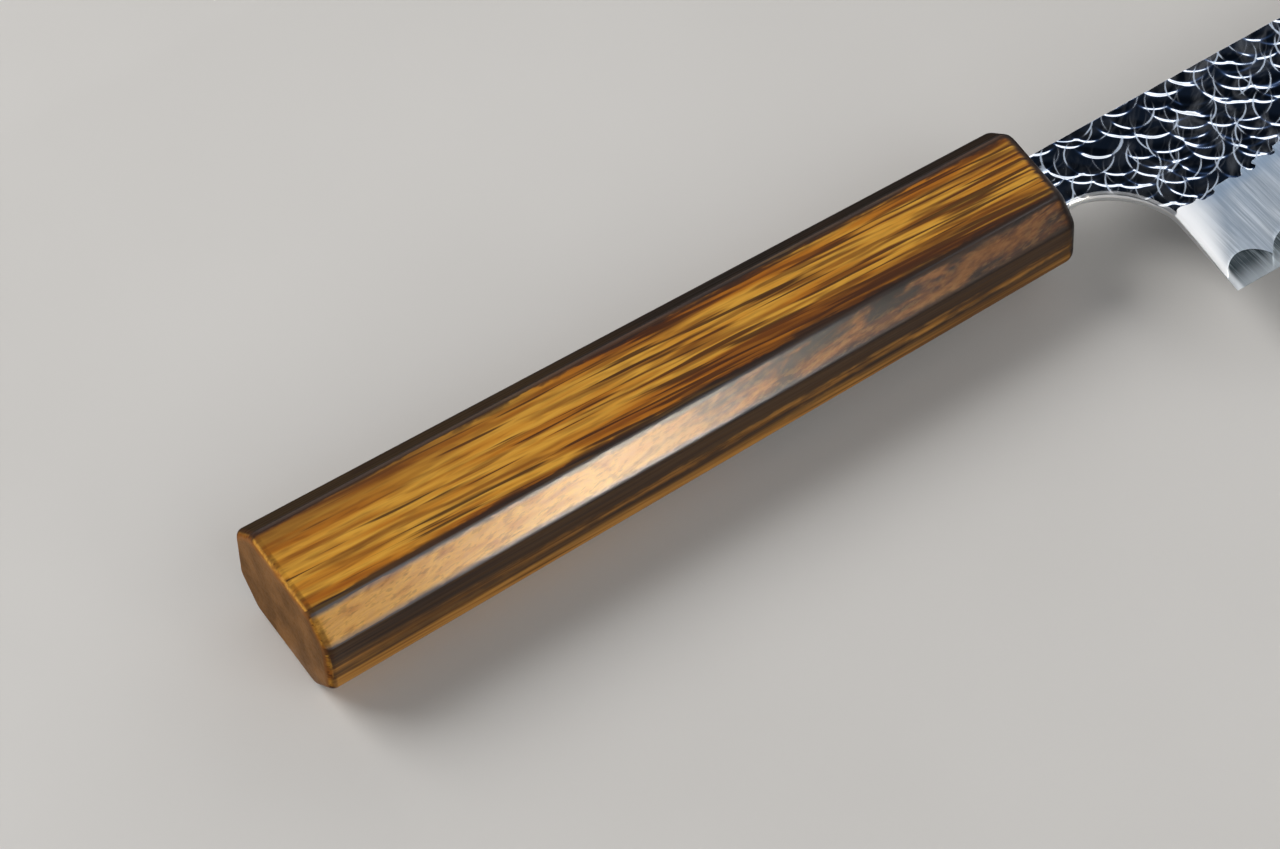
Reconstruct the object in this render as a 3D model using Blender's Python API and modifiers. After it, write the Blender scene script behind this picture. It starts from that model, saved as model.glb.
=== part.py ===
"""A Japanese chef's knife: a three-layer blade with a hidden tang, glued into a lacquered octagonal handle.

The knife lies on its left side. Seen from above, the tip points along +X, the spine along +Y and
the edge along -Y. Lengths are in metres. Each piece is modelled with its origin at the centre of the
handle's front face, and all of them hang from one empty, which stands the knife on z = 0 with its
bounding box centred on the origin.
"""

import math

import bmesh
import bpy
from mathutils import Matrix, Vector

MM = 0.001

# Handle: an octagon that tapers towards the blade.
HANDLE_LENGTH = 140 * MM
BUTT_HEIGHT = 26.95 * MM
BUTT_THICKNESS = 20.2 * MM
BUTT_CHAMFER = 4.9 * MM
FRONT_HEIGHT = 22.9 * MM
FRONT_THICKNESS = 16.35 * MM
FRONT_CHAMFER = 4.07 * MM
BUTT_ROUNDING = 1.4 * MM
FRONT_ROUNDING = 2.4 * MM
FACET_ROUNDING = 1.0 * MM

# Blade outline.
BLADE_LENGTH = 210 * MM
HEEL_X = 14.6 * MM
TIP_X = HEEL_X + BLADE_LENGTH
SPINE_Y = 5.8 * MM
SPINE_BEND_X = 128 * MM
SPINE_DROP = 14.8 * MM
EDGE_Y = -33.4 * MM
EDGE_BEND_X = 45 * MM
NECK_X = 3 * MM
NECK_Y = -5.65 * MM
CHOIL_Y = -18 * MM
CHOIL_POWER = 1.75  # 2 would make the notch's corner an ellipse
FAN_X = 42 * MM  # where the section through the heel meets the spine

# Blade thickness, each value from the middle plane to one face.
SPINE_HALF = 1.0 * MM
SPINE_HALF_AT_TIP = 0.52 * MM
BEVEL_HALF = 0.76 * MM
BEVEL_HALF_AT_TIP = 0.42 * MM
EDGE_HALF = 0.09 * MM
CORE_HALF = 0.21 * MM
LAYER_GAP = 0.03 * MM
CLAD_END_WALL = 0.04 * MM

# Where the bevel starts, as a share of the blade's height, and where the core shows.
BEVEL_SHARE_AT_HEEL = 0.42
BEVEL_SHARE = 0.54
BEVEL_RISE_X = 58 * MM
CORE_SHOWN = 2.0 * MM  # at the dips between the core line's arches
CORE_ARCH_HEIGHT = 3.8 * MM
CORE_ARCH_LENGTH = 9.4 * MM
CORE_SEARCH = 9 * MM

# Tang, hidden in the handle.
TANG_LENGTH = 95 * MM
TANG_HEIGHT = 8 * MM
TANG_END_HEIGHT = 4.6 * MM
SHOULDER_X = -2 * MM
SHOULDER_END_X = -8 * MM

# The handle's drilled hole and what fills it.
BORE_RADIUS = 5.6 * MM
BORE_DEPTH = 106 * MM
MOUTH_HEIGHT = 12.4 * MM
MOUTH_THICKNESS = 3.0 * MM
MOUTH_DEPTH = 9 * MM
FIT = 0.3 * MM
SEAL_DEPTH = 1.5 * MM
SEAL_FIT = 0.15 * MM
DOWEL_LENGTH = 103 * MM
DOWEL_SLOT_HALF = 1.3 * MM
ADHESIVE_HEIGHT = 9.8 * MM
ADHESIVE_HALF = 1.1 * MM
ADHESIVE_START_X = -10 * MM
ADHESIVE_END_X = -102 * MM

# Mesh resolution.
TANG_COLUMNS = 14
CHOIL_COLUMNS = 16
EDGE_COLUMNS = 96
ROWS = 10
CORE_EDGE_ROWS = 3
CORE_SEARCH_STEPS = 200

EPSILON = 1e-9


def clear_scene():
    for obj in list(bpy.data.objects):
        bpy.data.objects.remove(obj, do_unlink=True)


def new_collection(name):
    collection = bpy.data.collections.new(name)
    bpy.context.scene.collection.children.link(collection)
    return collection


def new_material(name, color, roughness, metallic=0.0):
    material = bpy.data.materials.new(name)
    material.use_nodes = True
    shader = material.node_tree.nodes["Principled BSDF"]
    shader.inputs["Base Color"].default_value = (*color, 1)
    shader.inputs["Roughness"].default_value = roughness
    shader.inputs["Metallic"].default_value = metallic
    return material


def new_object(name, mesh, collection, material=None):
    obj = bpy.data.objects.new(name, mesh)
    collection.objects.link(obj)
    if material:
        mesh.materials.append(material)
    return obj


def new_cutter(name, mesh, collection):
    cutter = new_object(name, mesh, collection)
    cutter.hide_render = True
    cutter.display_type = "WIRE"
    return cutter


def mesh_from(build, name):
    """A mesh made by build(bm), with its normals facing out."""
    bm = bmesh.new()
    build(bm)
    bmesh.ops.recalc_face_normals(bm, faces=bm.faces)
    mesh = bpy.data.meshes.new(name)
    bm.to_mesh(mesh)
    bm.free()
    return mesh


def box_mesh(name, low, high):
    size = Vector(high) - Vector(low)
    middle = (Vector(high) + Vector(low)) / 2
    place = Matrix.Translation(middle) @ Matrix.Diagonal((*size, 1))
    return mesh_from(lambda bm: bmesh.ops.create_cube(bm, size=1, matrix=place), name)


def rod_mesh(name, x_start, x_end, radius, segments=48):
    """A cylinder along X."""
    place = Matrix.Translation(((x_start + x_end) / 2, 0, 0)) @ Matrix.Rotation(math.pi / 2, 4, "Y")

    def build(bm):
        bmesh.ops.create_cone(
            bm,
            cap_ends=True,
            segments=segments,
            radius1=radius,
            radius2=radius,
            depth=x_end - x_start,
            matrix=place,
        )

    return mesh_from(build, name)


def add_boolean(obj, operation, other):
    modifier = obj.modifiers.new(f"{operation.lower()}_{other.name}", "BOOLEAN")
    modifier.operation = operation
    modifier.object = other
    modifier.solver = "EXACT"


def add_bevel(obj, name, width, segments):
    modifier = obj.modifiers.new(name, "BEVEL")
    modifier.width = width
    modifier.segments = segments
    return modifier


def blend(start, end, share):
    return start + (end - start) * share


def smooth(share):
    share = min(max(share, 0), 1)
    return share * share * (3 - 2 * share)


def along_blade(x):
    """0 at the handle, 1 at the tip."""
    return min(max(x / TIP_X, 0), 1)


# Blade outline


def spine_y(x):
    bend = max(x - SPINE_BEND_X, 0) / (TIP_X - SPINE_BEND_X)
    return SPINE_Y - SPINE_DROP * bend**2.2


def edge_y(x):
    bend = max(x - EDGE_BEND_X, 0) / (TIP_X - EDGE_BEND_X)
    return EDGE_Y + (SPINE_Y - SPINE_DROP - EDGE_Y) * bend**3.3


def tang_half_height(x):
    """Half the tang's height behind its shoulders."""
    return blend(TANG_HEIGHT, TANG_END_HEIGHT, -x / TANG_LENGTH) / 2


def tang_side(x, neck_side):
    """The tang's upper or lower side, which eases from the neck through the shoulder."""
    sign = 1 if neck_side > 0 else -1
    inside = smooth((x - SHOULDER_X) / (SHOULDER_END_X - SHOULDER_X))
    return blend(neck_side, sign * tang_half_height(x), inside)


def choil_point(share):
    """A point on the finger notch: its rounded corner first, then straight down to the heel."""
    corner_share = 0.62
    if share >= corner_share:
        down = (share - corner_share) / (1 - corner_share)
        return HEEL_X, blend(CHOIL_Y, EDGE_Y, down)
    angle = math.pi / 2 * (1 - share / corner_share)
    power = 2 / CHOIL_POWER
    x = NECK_X + (HEEL_X - NECK_X) * max(math.cos(angle), 0) ** power
    y = CHOIL_Y + (NECK_Y - CHOIL_Y) * max(math.sin(angle), 0) ** power
    return x, y


def core_line_height(x):
    """How far above the edge the core comes out: a row of uneven arches, like the outline of a cloud."""
    along = x - HEEL_X
    turn = math.pi * (along / CORE_ARCH_LENGTH + 0.12 * math.sin(along / (13 * MM)))
    arch = abs(math.sin(turn)) ** 0.6 * (0.8 + 0.2 * math.cos(along / (15 * MM)))
    ease_at_tip = smooth((TIP_X - x) / (30 * MM))
    return (CORE_SHOWN + CORE_ARCH_HEIGHT * arch) * (0.35 + 0.65 * ease_at_tip)


def blade_columns():
    """(upper, lower) points of each section of the blade and tang, from the tang's end to the tip."""
    columns = []
    for i in range(TANG_COLUMNS):
        x = blend(-TANG_LENGTH, NECK_X, (i / TANG_COLUMNS) ** 0.6)
        columns.append(((x, tang_side(x, SPINE_Y)), (x, tang_side(x, NECK_Y))))
    for i in range(CHOIL_COLUMNS):
        share = i / CHOIL_COLUMNS
        x = blend(NECK_X, FAN_X, share)
        columns.append(((x, spine_y(x)), choil_point(share)))
    for i in range(EDGE_COLUMNS + 1):
        share = i / EDGE_COLUMNS
        upper_x = blend(FAN_X, TIP_X, share)
        lower_x = blend(HEEL_X, TIP_X, share)
        columns.append(((upper_x, spine_y(upper_x)), (lower_x, edge_y(lower_x))))
    return columns


# Blade thickness


def height_share(x, y):
    """0 at the edge and 1 at the spine."""
    height = spine_y(x) - edge_y(x)
    return min(max((y - edge_y(x)) / max(height, 0.2 * MM), 0), 1)


def bevel_share(x):
    return blend(BEVEL_SHARE_AT_HEEL, BEVEL_SHARE, smooth((x - HEEL_X) / BEVEL_RISE_X))


def face_half(x, y):
    """Half the blade's thickness: thinning slowly to the bevel, then as a slightly convex wedge."""
    spine_half = blend(SPINE_HALF, SPINE_HALF_AT_TIP, along_blade(x))
    bevel_half = blend(BEVEL_HALF, BEVEL_HALF_AT_TIP, along_blade(x))
    if x < NECK_X:
        return spine_half
    share = height_share(x, y)
    bevel = bevel_share(x)
    if share > bevel:
        return blend(bevel_half, spine_half, (share - bevel) / (1 - bevel))
    return blend(EDGE_HALF, bevel_half, (share / bevel) ** 0.8)


def plate(name, rings):
    """A closed body from rings of equal length, each a closed section, with its ends capped."""

    def build(bm):
        loops = [[bm.verts.new(point) for point in ring] for ring in rings]
        for first, second in zip(loops, loops[1:]):
            for i in range(len(first)):
                j = (i + 1) % len(first)
                bm.faces.new((first[i], first[j], second[j], second[i]))
        bm.faces.new(loops[0])
        bm.faces.new(loops[-1])

    mesh = mesh_from(build, name)
    mesh.shade_smooth()
    mesh.set_sharp_from_angle(angle=math.radians(30))
    return mesh


def point_between(upper, lower, share):
    return blend(upper[0], lower[0], share), blend(upper[1], lower[1], share)


def drop_to_core_line(upper, lower):
    """The share of a section, from the spine down, at which the cladding ends."""
    start = max(1 - CORE_SEARCH / max(upper[1] - lower[1], 0.1 * MM), 0.3)
    for i in range(CORE_SEARCH_STEPS + 1):
        share = blend(start, 1, i / CORE_SEARCH_STEPS)
        x, y = point_between(upper, lower, share)
        if x >= HEEL_X and y < edge_y(x) + core_line_height(x):
            return share
    return 1.0


def cladding_ring(upper, lower, side):
    """A section of one cladding: its outer face from the spine down, then its flat inner face."""
    end = drop_to_core_line(upper, lower)
    inner = CORE_HALF + LAYER_GAP
    outer_points = []
    inner_points = []
    for i in range(ROWS + 1):
        x, y = point_between(upper, lower, end * i / ROWS)
        outer_points.append((x, y, side * max(face_half(x, y), inner + CLAD_END_WALL)))
        inner_points.append((x, y, side * inner))
    return outer_points + inner_points[::-1]


def core_ring(upper, lower):
    """A section of the core: even in thickness under the cladding, then a wedge down to the edge."""
    end = drop_to_core_line(upper, lower)
    shares = [end * i / ROWS for i in range(ROWS + 1)]
    if end < 1:
        shares += [blend(end, 1, (i + 1) / CORE_EDGE_ROWS) for i in range(CORE_EDGE_ROWS)]
    else:
        shares = [i / (ROWS + CORE_EDGE_ROWS) for i in range(ROWS + CORE_EDGE_ROWS + 1)]
    right = []
    left = []
    for share in shares:
        x, y = point_between(upper, lower, share)
        below = max(share - end, 0) / max(1 - end, EPSILON)
        half = blend(CORE_HALF, EDGE_HALF, below)
        right.append((x, y, half))
        left.append((x, y, -half))
    return right + left[::-1]


def make_blade(parts, stainless, core_steel):
    columns = blade_columns()
    tip = columns.pop()
    last_upper, last_lower = columns[-1]
    # The tip is a short blunt end instead of a point of no width.
    tip_upper = (blend(last_upper[0], tip[0][0], 0.93), blend(last_upper[1], tip[0][1], 0.93))
    tip_lower = (tip[1][0], tip[1][1])
    core = [core_ring(upper, lower) for upper, lower in columns]
    core.append(core_ring(tip_upper, tip_lower))
    new_object("blade_core", plate("blade_core", core), parts, core_steel)
    for name, side in (("cladding_right", 1), ("cladding_left", -1)):
        rings = [cladding_ring(upper, lower, side) for upper, lower in columns]
        new_object(name, plate(name, rings), parts, stainless)


# Handle


def octagon(x, height, thickness, chamfer):
    half_y = height / 2
    half_z = thickness / 2
    corners = ((half_y, half_z - chamfer), (half_y - chamfer, half_z))
    return [(x, sy * y, sz * z) for y, z in corners for sy in (1, -1) for sz in (1, -1)]


def handle_mesh():
    """The tapered octagon, with weights on the edges round its two ends for their rounding."""
    ends = octagon(-HANDLE_LENGTH, BUTT_HEIGHT, BUTT_THICKNESS, BUTT_CHAMFER)
    ends += octagon(0, FRONT_HEIGHT, FRONT_THICKNESS, FRONT_CHAMFER)

    def build(bm):
        for point in ends:
            bm.verts.new(point)
        bmesh.ops.convex_hull(bm, input=bm.verts)
        bmesh.ops.dissolve_limit(bm, angle_limit=math.radians(1), verts=bm.verts, edges=bm.edges)
        weights = bm.edges.layers.float.new("bevel_weight_edge")
        for edge in bm.edges:
            reach = sum(vert.co.x for vert in edge.verts) / 2
            if reach > -EPSILON:
                edge[weights] = 1
            elif reach < EPSILON - HANDLE_LENGTH:
                edge[weights] = BUTT_ROUNDING / FRONT_ROUNDING

    return mesh_from(build, "handle_body")


def mouth_cutter(name, cutters, height, thickness, depth):
    low = (-depth, -height / 2, -thickness / 2)
    high = (FIT * 4, height / 2, thickness / 2)
    return new_cutter(name, box_mesh(name, low, high), cutters)


def make_handle(parts, cutters, wood):
    handle = new_object("handle_body", handle_mesh(), parts, wood)
    add_bevel(handle, "end_rounding", FRONT_ROUNDING, 5).limit_method = "WEIGHT"
    facets = add_bevel(handle, "facet_rounding", FACET_ROUNDING, 2)
    facets.limit_method = "ANGLE"
    facets.angle_limit = math.radians(40)
    bore = new_cutter("bore", rod_mesh("bore", -BORE_DEPTH, FIT * 4, BORE_RADIUS), cutters)
    add_boolean(handle, "DIFFERENCE", bore)
    mouth = mouth_cutter("mouth", cutters, MOUTH_HEIGHT, MOUTH_THICKNESS, MOUTH_DEPTH)
    add_boolean(handle, "DIFFERENCE", mouth)


def make_seal(parts, cutters, resin):
    """The resin that fills the mouth around the neck, flush with the handle's front face."""
    radius = BORE_RADIUS - SEAL_FIT
    seal = new_object("mouth_seal", rod_mesh("mouth_seal", -SEAL_DEPTH, 0, radius), parts, resin)
    ears_half_height = MOUTH_HEIGHT / 2 - SEAL_FIT
    ears_half_thickness = MOUTH_THICKNESS / 2 - SEAL_FIT
    ears = new_cutter(
        "seal_ears",
        box_mesh(
            "seal_ears",
            (-SEAL_DEPTH, -ears_half_height, -ears_half_thickness),
            (0, ears_half_height, ears_half_thickness),
        ),
        cutters,
    )
    add_boolean(seal, "UNION", ears)
    neck = new_cutter(
        "neck_space",
        box_mesh(
            "neck_space",
            (-2 * SEAL_DEPTH, NECK_Y - SEAL_FIT, -SPINE_HALF - SEAL_FIT),
            (SEAL_DEPTH, SPINE_Y + SEAL_FIT, SPINE_HALF + SEAL_FIT),
        ),
        cutters,
    )
    add_boolean(seal, "DIFFERENCE", neck)


def make_dowel(parts, cutters, dowel_wood):
    """Two half rods, one on each side of the tang."""
    start_x = -SEAL_DEPTH - FIT - DOWEL_LENGTH
    end_x = -SEAL_DEPTH - FIT
    radius = BORE_RADIUS - FIT
    for name, side in (("dowel_half_right", 1), ("dowel_half_left", -1)):
        half = new_object(name, rod_mesh(name, start_x, end_x, radius), parts, dowel_wood)
        low = (start_x - FIT, -2 * radius, min(side * DOWEL_SLOT_HALF, -side * 2 * radius))
        high = (end_x + FIT, 2 * radius, max(side * DOWEL_SLOT_HALF, -side * 2 * radius))
        cutter = new_cutter(f"{name}_removed", box_mesh(f"{name}_removed", low, high), cutters)
        add_boolean(half, "DIFFERENCE", cutter)


def make_adhesive(parts, cutters, resin):
    """The adhesive above, below and behind the tang, between the dowel halves."""
    half_height = ADHESIVE_HEIGHT / 2
    low = (ADHESIVE_END_X, -half_height, -ADHESIVE_HALF)
    high = (ADHESIVE_START_X, half_height, ADHESIVE_HALF)
    adhesive = new_object("tang_adhesive", box_mesh("tang_adhesive", low, high), parts, resin)
    ends = []
    for x in (-TANG_LENGTH - FIT, ADHESIVE_START_X + FIT):
        half = tang_half_height(x) + FIT
        ends += [(x, sy * half, sz * 2 * ADHESIVE_HALF) for sy in (1, -1) for sz in (1, -1)]

    def build(bm):
        for point in ends:
            bm.verts.new(point)
        bmesh.ops.convex_hull(bm, input=bm.verts)

    space = new_cutter("tang_space", mesh_from(build, "tang_space"), cutters)
    add_boolean(adhesive, "DIFFERENCE", space)


def stand_on_table(pieces, frame):
    """Moves the empty so that the bounding box's bottom centre is the world's origin."""
    bpy.context.view_layer.update()
    graph = bpy.context.evaluated_depsgraph_get()
    corners = []
    for obj in pieces:
        evaluated = obj.evaluated_get(graph)
        corners += [evaluated.matrix_world @ Vector(corner) for corner in evaluated.bound_box]
    low = Vector(min(corner[axis] for corner in corners) for axis in range(3))
    high = Vector(max(corner[axis] for corner in corners) for axis in range(3))
    frame.location = (-(low.x + high.x) / 2, -(low.y + high.y) / 2, -low.z)


def main():
    clear_scene()
    parts = new_collection("chef_knife")
    cutters = new_collection("cutters")
    stainless = new_material("hammered_stainless", (0.33, 0.35, 0.39), 0.16, 1.0)
    core_steel = new_material("core_steel", (0.45, 0.47, 0.5), 0.3, 1.0)
    oak = new_material("lacquered_oak", (0.38, 0.17, 0.045), 0.22)
    dowel_wood = new_material("dowel_wood", (0.62, 0.5, 0.34), 0.7)
    adhesive = new_material("cured_adhesive", (0.55, 0.45, 0.25), 0.35)
    seal_resin = new_material("seal_resin", (0.03, 0.018, 0.012), 0.4)

    make_blade(parts, stainless, core_steel)
    make_handle(parts, cutters, oak)
    make_dowel(parts, cutters, dowel_wood)
    make_adhesive(parts, cutters, adhesive)
    make_seal(parts, cutters, seal_resin)

    pieces = list(parts.objects)
    frame = bpy.data.objects.new("knife_frame", None)
    parts.objects.link(frame)
    for obj in pieces + list(cutters.objects):
        obj.parent = frame
    stand_on_table(pieces, frame)


main()
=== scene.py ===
"""The looks of the chef's knife: hammered and ground steel, lacquered oak, a pale floor and soft light.

Shapes are built in millimetres around the centre of the handle's front face, with +X towards the
tip, +Y towards the spine and +Z out of the right face, and then moved to where the CAD nodes are.
"""

import math

import bpy
import numpy as np
from mathutils import Euler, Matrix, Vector


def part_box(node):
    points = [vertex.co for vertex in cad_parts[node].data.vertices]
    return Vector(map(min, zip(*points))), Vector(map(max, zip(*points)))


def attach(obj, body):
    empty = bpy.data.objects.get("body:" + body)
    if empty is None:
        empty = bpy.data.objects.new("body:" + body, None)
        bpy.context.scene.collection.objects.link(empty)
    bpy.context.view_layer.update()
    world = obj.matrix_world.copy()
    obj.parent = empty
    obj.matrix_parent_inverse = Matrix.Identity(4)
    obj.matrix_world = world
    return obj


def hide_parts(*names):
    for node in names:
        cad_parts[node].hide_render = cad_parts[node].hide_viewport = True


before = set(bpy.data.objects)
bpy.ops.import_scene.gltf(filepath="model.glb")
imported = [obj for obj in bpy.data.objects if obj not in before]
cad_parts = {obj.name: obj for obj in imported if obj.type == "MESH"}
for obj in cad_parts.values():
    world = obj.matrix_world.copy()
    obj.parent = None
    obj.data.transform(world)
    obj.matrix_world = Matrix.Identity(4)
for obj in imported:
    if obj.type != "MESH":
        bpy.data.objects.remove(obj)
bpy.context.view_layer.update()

MM = 0.001

# Places read from the CAD nodes.
handle_low, handle_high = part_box("handle_body")
core_low, core_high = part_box("blade_core")
FRONT = Vector((handle_high.x, (handle_low.y + handle_high.y) / 2, (handle_low.z + handle_high.z) / 2))

# Handle, in mm. The measures are the CAD handle's, but for FACET_ROUNDING, which is 1.0 there.
HANDLE_LENGTH = (handle_high.x - handle_low.x) / MM
BUTT = (26.95, 20.2, 4.9)  # height, thickness, chamfer
MOUTH = (22.9, 16.35, 4.07)
BUTT_ROUNDING = 1.4
FRONT_ROUNDING = 2.4
FACET_ROUNDING = 1.2
BORE_RADIUS = 5.6
BORE_DEPTH = 106.0
SLOT_HALF_HEIGHT = 6.2
SLOT_HALF_THICKNESS = 1.5
SLOT_DEPTH = 9.0

# Blade outline, in mm.
TIP_X = (core_high.x - FRONT.x) / MM
TANG_X = (core_low.x - FRONT.x) / MM
SPINE_Y = (core_high.y - FRONT.y) / MM
EDGE_Y = (core_low.y - FRONT.y) / MM
HEEL_X = TIP_X - 210.0
SPINE_BEND_X = 128.0
SPINE_DROP = 14.8
SPINE_BEND_POWER = 2.2
EDGE_BEND_X = 45.0
EDGE_BEND_POWER = 3.3
NECK_X = 3.0
NECK_Y = -5.65
CHOIL_Y = -18.0
CHOIL_POWER = 1.75
CHOIL_CORNER_SHARE = 0.62  # of the sections along the notch; the others go on down to the heel
FAN_X = 42.0

# Blade thickness, from the middle plane to one face, in mm.
SPINE_HALF = 1.0
SPINE_HALF_AT_TIP = 0.52
BEVEL_HALF = 0.76
BEVEL_HALF_AT_TIP = 0.42
EDGE_HALF = 0.05
CORE_HALF = 0.21
CLAD_INNER = 0.24
CLAD_END = 0.27
WEDGE_POWER = 0.8
WEDGE_RISE = 2.2
UNGROUND_HALF = 9.0  # where the grinding never reaches
SPINE_ROUNDING = 0.04
CHOIL_ROUNDING = 0.7
SHARP_ROUNDING = 0.02
ROUNDING_SHARE = 0.2  # the most that a rounding may take of a section's length

# Tang, in mm.
TANG_HEIGHT = 8.0
TANG_END_HEIGHT = 4.6
SHOULDER_X = -2.0
SHOULDER_END_X = -8.0

# Bevel and core line, in mm; the bevel's shares are of the blade's height.
BEVEL_SHARE_AT_HEEL = 0.44
BEVEL_SHARE = 0.56
BEVEL_RISE = 58.0
CORE_SHOWN = 2.0
CORE_ARCH_HEIGHT = 3.8
CORE_ARCH_LENGTH = 9.4
CORE_ARCH_POWER = 0.6
CORE_ARCH_SHIFT = 0.12  # in arches, to and fro, so that they differ
CORE_ARCH_SHIFT_LENGTH = 13
CORE_ARCH_UNEVEN = 0.2
CORE_ARCH_UNEVEN_LENGTH = 15
CORE_SHARE_AT_TIP = 0.35
CORE_TIP_LENGTH = 30
CORE_SEARCH = 9.0
CORE_SEARCH_FROM = 0.3
CORE_SEARCH_STEPS = 400

# How finely the blade is divided.
SECTIONS = (24, 256, 84, 286)  # along the tang, the notch, the edge in the photo and the rest of it
NEAR_SHARE = 0.07  # how much of the blade in front of the notch the photo shows
TANG_CROWDING = 0.6
TOP_ROWS = (0, 0.15, 0.5, 1.0)  # shares of the spine's rounding
DENSE_ROWS = 124
DENSE_START = 0.02
DENSE_BEYOND = 3.0
DENSE_SHARES = (0.5, 0.97)  # the least and the most of a section that the dense rows cover
COARSE_ROWS = 10
LOW_ROWS = (0.8, 0.6, 0.42, 0.25, 0.1, 0)  # shares of the notch's rounding
CORE_ROWS_UNDER_CLADDING = 16
CORE_ROWS_SHOWN = 8
BLADE_SHARP_ANGLE = 50
MIN_HEIGHT = 0.1
TINY = 1e-6

# Hammer marks, in mm, and in radians for what turns.
DENT_AREA_LOW = (-6.0, -27.0)
DENT_AREA_BEYOND = (4, 5)  # past the tip and the spine
DENT_MARGIN = 5
DENT_PITCH = (3.6, 2.8)
DENT_ROWS = -0.65  # the direction in which the marks follow each other
DENT_JITTER = 0.5
DENT_RADII = (3.6, 4.6)
DENT_SLOPES = (0.19, 0.27)
DENT_POWER = 12
DENT_SHOULDER = 0.35
DENT_BORDER = 0.8
DENT_MEMORY = (0.3, 0.8)  # how much of the older marks a new one leaves
DENT_TILT = -2.2  # the side of each mark that the tilted hammer drove in
DENT_TILT_SPREAD = 0.15
DENT_BITE_START = 0.5
DENT_LEVELLING = 3.0
DENT_FEWEST_POINTS = 20
RIM_STRENGTHS = (0.0, 1.2)
RIM_OFFSET = 0.05
RIM_LINE = 0.17
RIM_MEMORY = 0.75
FLANK_START = 0.5
FLANK_EASE_IN = 0.5
FLANK_STOP = 2.5
FLANK_EASE_OUT = 1.2
FIELD_PITCH = 0.06
NECK_FADE = 3  # over this length inside the handle's mouth the marks fade out
LIFT = 0.5  # below the bevel's upper line the marks are lifted out of the way of the grinding
LIFT_START = 0.2
LIFT_LENGTH = 2.2


def smooth(share):
    share = np.clip(share, 0, 1)
    return share * share * (3 - 2 * share)


def mix(a, b, share):
    return a + (b - a) * share


# Blade outline and thickness, for single values or arrays


def spine_y(x):
    bend = np.maximum(x - SPINE_BEND_X, 0) / (TIP_X - SPINE_BEND_X)
    return SPINE_Y - SPINE_DROP * bend**SPINE_BEND_POWER


def edge_y(x):
    bend = np.maximum(x - EDGE_BEND_X, 0) / (TIP_X - EDGE_BEND_X)
    return EDGE_Y + (SPINE_Y - SPINE_DROP - EDGE_Y) * bend**EDGE_BEND_POWER


def tang_side(x, neck_side):
    sign = 1 if neck_side > 0 else -1
    half = mix(TANG_HEIGHT, TANG_END_HEIGHT, x / TANG_X) / 2
    inside = smooth((x - SHOULDER_X) / (SHOULDER_END_X - SHOULDER_X))
    return mix(neck_side, sign * half, inside)


def choil_points(share):
    """The notch's outline, from the neck around its rounded corner and down to the heel."""
    angle = math.pi / 2 * (1 - np.minimum(share / CHOIL_CORNER_SHARE, 1))
    power = 2 / CHOIL_POWER
    x = NECK_X + (HEEL_X - NECK_X) * np.maximum(np.cos(angle), 0) ** power
    y = CHOIL_Y + (NECK_Y - CHOIL_Y) * np.maximum(np.sin(angle), 0) ** power
    down = np.maximum(share - CHOIL_CORNER_SHARE, 0) / (1 - CHOIL_CORNER_SHARE)
    return np.stack([x, mix(y, EDGE_Y, down)], axis=1)


def core_line_height(x):
    """How far above the edge the core comes out: a row of uneven arches, like the outline of a cloud."""
    along = x - HEEL_X
    shift = CORE_ARCH_SHIFT * np.sin(along / CORE_ARCH_SHIFT_LENGTH)
    turn = np.pi * (along / CORE_ARCH_LENGTH + shift)
    uneven = 1 - CORE_ARCH_UNEVEN + CORE_ARCH_UNEVEN * np.cos(along / CORE_ARCH_UNEVEN_LENGTH)
    arch = np.abs(np.sin(turn)) ** CORE_ARCH_POWER * uneven
    to_tip = mix(CORE_SHARE_AT_TIP, 1, smooth((TIP_X - x) / CORE_TIP_LENGTH))
    return (CORE_SHOWN + CORE_ARCH_HEIGHT * arch) * to_tip


def choil_gap(x, y):
    """The distance to the finger notch."""
    notch = choil_points(np.linspace(0, 1, 90))
    gap = np.full(np.shape(x), np.inf)
    for point in notch:
        gap = np.minimum(gap, np.hypot(x - point[0], y - point[1]))
    return gap


def height_share(x, y):
    """Where a place lies between the edge, 0, and the spine, 1."""
    height = spine_y(x) - edge_y(x)
    return np.clip((y - edge_y(x)) / np.maximum(height, 2 * MIN_HEIGHT), 0, 1)


def bevel_share(x):
    return mix(BEVEL_SHARE_AT_HEEL, BEVEL_SHARE, smooth((x - HEEL_X) / BEVEL_RISE))


def flat_half(x, y):
    """Half the thickness of the hammered upper part, without its dents."""
    along = np.clip(x / TIP_X, 0, 1)
    bevel_half = mix(BEVEL_HALF, BEVEL_HALF_AT_TIP, along)
    spine_half = mix(SPINE_HALF, SPINE_HALF_AT_TIP, along)
    bevel = bevel_share(x)
    up = np.clip((height_share(x, y) - bevel) / (1 - bevel), 0, 1)
    return np.where(x < NECK_X, spine_half, mix(bevel_half, spine_half, up))


def ground_half(x, y):
    """Half the thickness of the ground wedge, which cuts into the hammered part where it is thinner."""
    along = np.clip(x / TIP_X, 0, 1)
    bevel_half = mix(BEVEL_HALF, BEVEL_HALF_AT_TIP, along)
    share = height_share(x, y) / bevel_share(x)
    wedge = mix(EDGE_HALF, bevel_half, np.minimum(share, 1) ** WEDGE_POWER)
    beyond = np.maximum(share - 1, 0) * bevel_half * WEDGE_RISE
    return np.where(x < NECK_X, UNGROUND_HALF, wedge + beyond)


# Blade sections


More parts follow.
